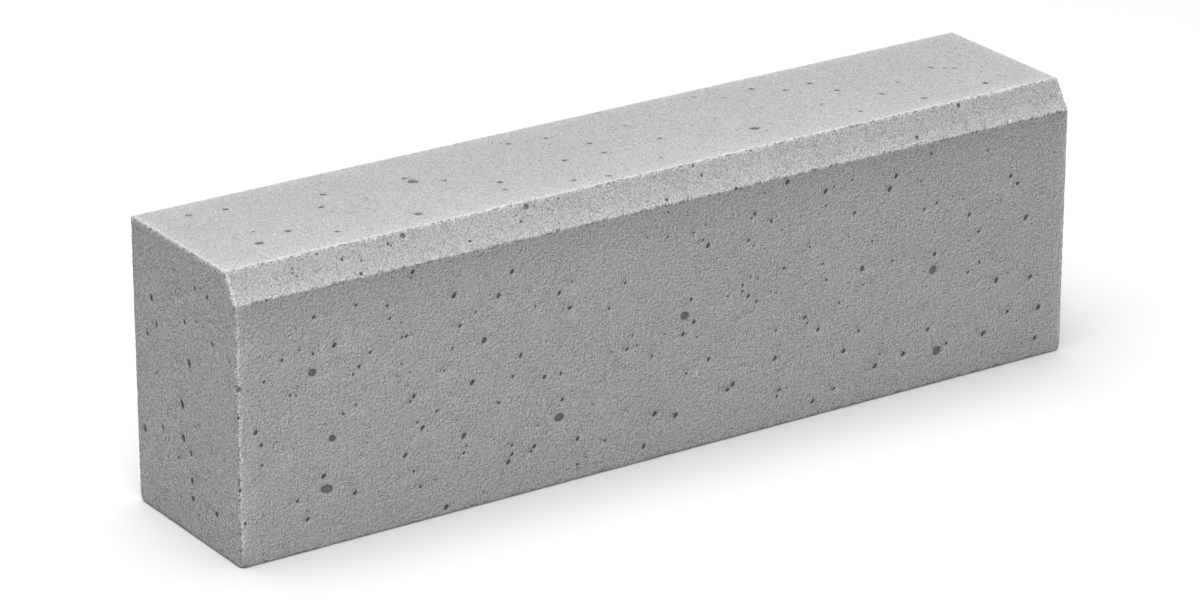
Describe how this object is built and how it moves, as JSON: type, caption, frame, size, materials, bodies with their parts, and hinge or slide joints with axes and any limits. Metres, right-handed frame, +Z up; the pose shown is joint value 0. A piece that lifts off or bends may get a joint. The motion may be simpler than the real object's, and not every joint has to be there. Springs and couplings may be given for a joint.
{
  "type": "concrete kerb stone",
  "caption": "Straight precast concrete kerb stone: a solid block with a splayed edge between its road face and its top, and softly rounded arrises.",
  "frame": {"origin": "middle of the bed, the bottom face that the stone stands on", "axes": "+X along the kerb line, -Y out of the road face, +Z up"},
  "size_m": [1, 0.2, 0.3],
  "materials": {
    "concrete": "matte"
  },
  "bodies": {
    "root": {"kerb_stone": "concrete"}
  },
  "joints": []
}
